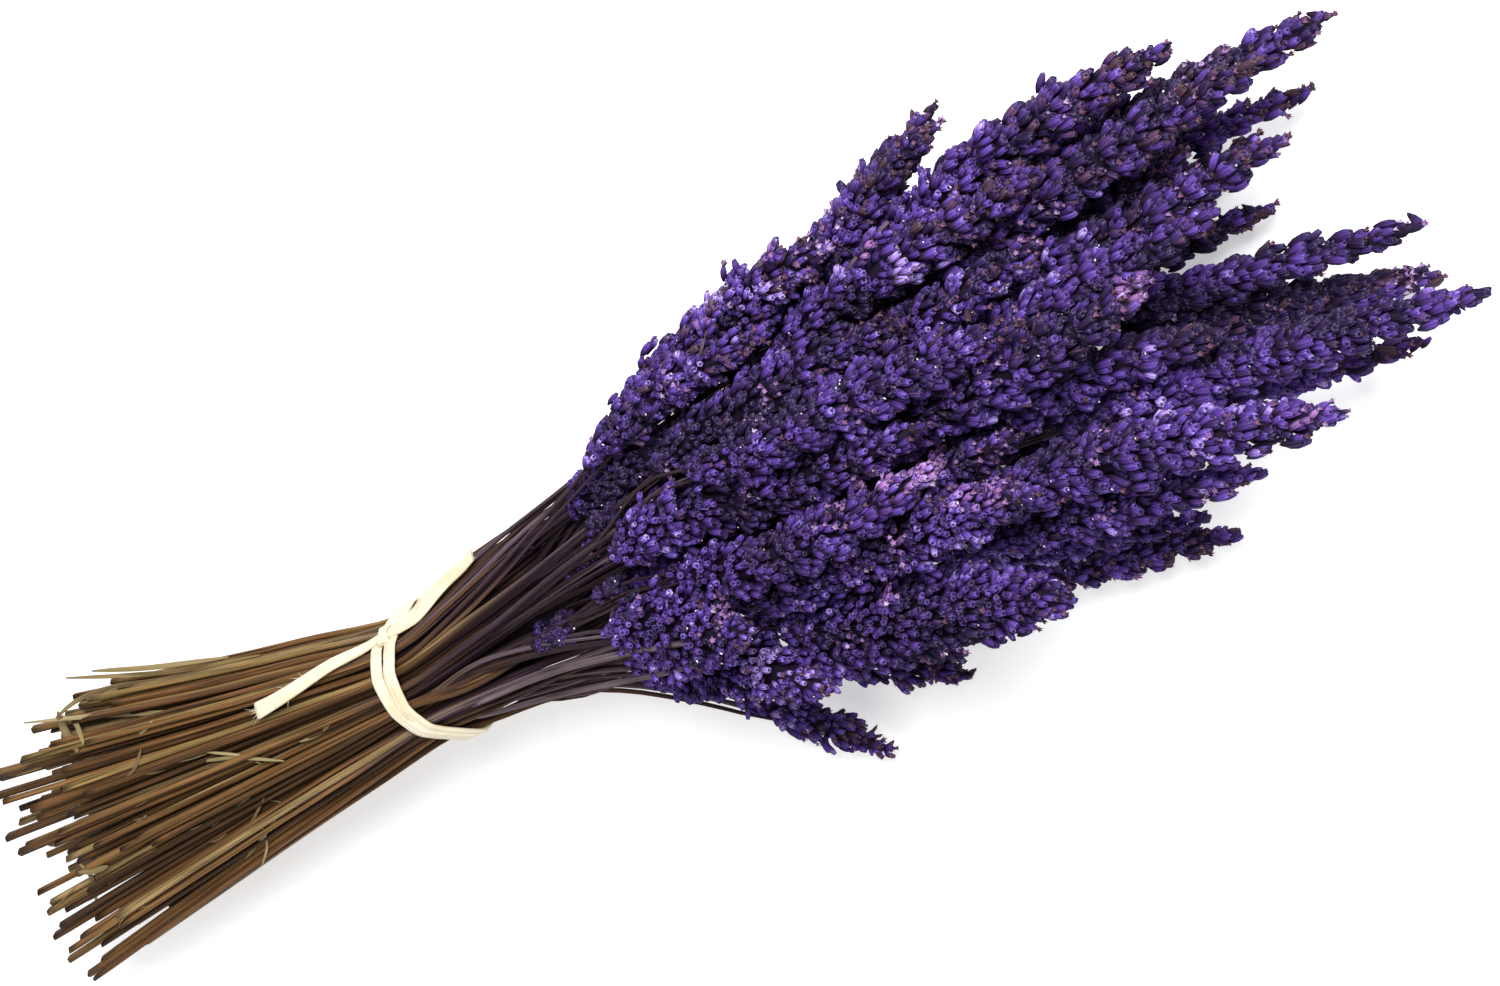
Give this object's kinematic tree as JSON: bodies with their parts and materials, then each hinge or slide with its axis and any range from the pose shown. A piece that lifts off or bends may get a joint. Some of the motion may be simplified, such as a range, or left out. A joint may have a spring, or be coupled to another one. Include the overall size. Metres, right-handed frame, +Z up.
{
  "type": "bunch of dried lavender",
  "caption": "Bunch of dried lavender lying on its side: slender stems with dense flower spikes, fanned out and held at the waist by a flat cotton tie.",
  "frame": {"origin": "middle of the bunch's box, on the surface that the bunch lies on", "axes": "+X along the bunch from the cut ends to the flower tips, +Y across it to the side with the tie's knot, +Z up"},
  "size_m": [0.3738, 0.1114, 0.0748],
  "materials": {
    "dried_lavender": "matte",
    "tie_cotton": "matte"
  },
  "bodies": {
    "root": {"flowering_stem_01": "dried_lavender", "flowering_stem_02": "dried_lavender", "flowering_stem_03": "dried_lavender", "flowering_stem_04": "dried_lavender", "flowering_stem_05": "dried_lavender", "flowering_stem_06": "dried_lavender", "flowering_stem_07": "dried_lavender", "flowering_stem_08": "dried_lavender", "flowering_stem_09": "dried_lavender", "flowering_stem_10": "dried_lavender", "flowering_stem_11": "dried_lavender", "flowering_stem_12": "dried_lavender", "flowering_stem_13": "dried_lavender", "flowering_stem_14": "dried_lavender", "flowering_stem_15": "dried_lavender", "flowering_stem_16": "dried_lavender", "flowering_stem_17": "dried_lavender", "flowering_stem_18": "dried_lavender", "flowering_stem_19": "dried_lavender", "flowering_stem_20": "dried_lavender", "flowering_stem_21": "dried_lavender", "flowering_stem_22": "dried_lavender", "flowering_stem_23": "dried_lavender", "flowering_stem_24": "dried_lavender", "flowering_stem_25": "dried_lavender", "flowering_stem_26": "dried_lavender", "flowering_stem_27": "dried_lavender", "flowering_stem_28": "dried_lavender", "flowering_stem_29": "dried_lavender", "flowering_stem_30": "dried_lavender", "flowering_stem_31": "dried_lavender", "flowering_stem_32": "dried_lavender", "flowering_stem_33": "dried_lavender", "flowering_stem_34": "dried_lavender", "flowering_stem_35": "dried_lavender", "flowering_stem_36": "dried_lavender", "flowering_stem_37": "dried_lavender", "flowering_stem_38": "dried_lavender", "flowering_stem_39": "dried_lavender", "flowering_stem_40": "dried_lavender", "flowering_stem_41": "dried_lavender", "flowering_stem_42": "dried_lavender", "flowering_stem_43": "dried_lavender", "flowering_stem_44": "dried_lavender", "flowering_stem_45": "dried_lavender", "flowering_stem_46": "dried_lavender", "flowering_stem_47": "dried_lavender", "flowering_stem_48": "dried_lavender", "flowering_stem_49": "dried_lavender", "flowering_stem_50": "dried_lavender", "flowering_stem_51": "dried_lavender", "flowering_stem_52": "dried_lavender", "flowering_stem_53": "dried_lavender", "flowering_stem_54": "dried_lavender", "flowering_stem_55": "dried_lavender", "flowering_stem_56": "dried_lavender", "flowering_stem_57": "dried_lavender", "tie": "tie_cotton"}
  },
  "joints": []
}
